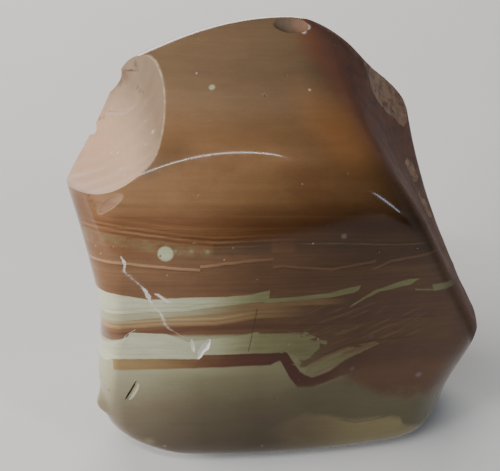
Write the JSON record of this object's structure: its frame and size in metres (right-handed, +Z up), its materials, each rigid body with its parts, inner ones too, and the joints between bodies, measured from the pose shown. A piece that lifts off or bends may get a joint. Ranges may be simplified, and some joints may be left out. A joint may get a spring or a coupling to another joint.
{
  "type": "agate palm stone",
  "caption": "Polished palm stone of banded agate with soft ground facets, a crisp crown edge and a broken corner; fits the hand and stands on a small flat",
  "frame": {"origin": "under the middle of the stone's box, on the surface it stands on", "axes": "+X is the right of the front face, +Y goes from the front face to the back, +Z is up"},
  "size_m": [0.0735, 0.0444, 0.0798],
  "materials": {
    "polished_agate": "polished banded stone, matt where it is chipped"
  },
  "bodies": {
    "root": {"stone": "polished_agate"}
  },
  "joints": []
}
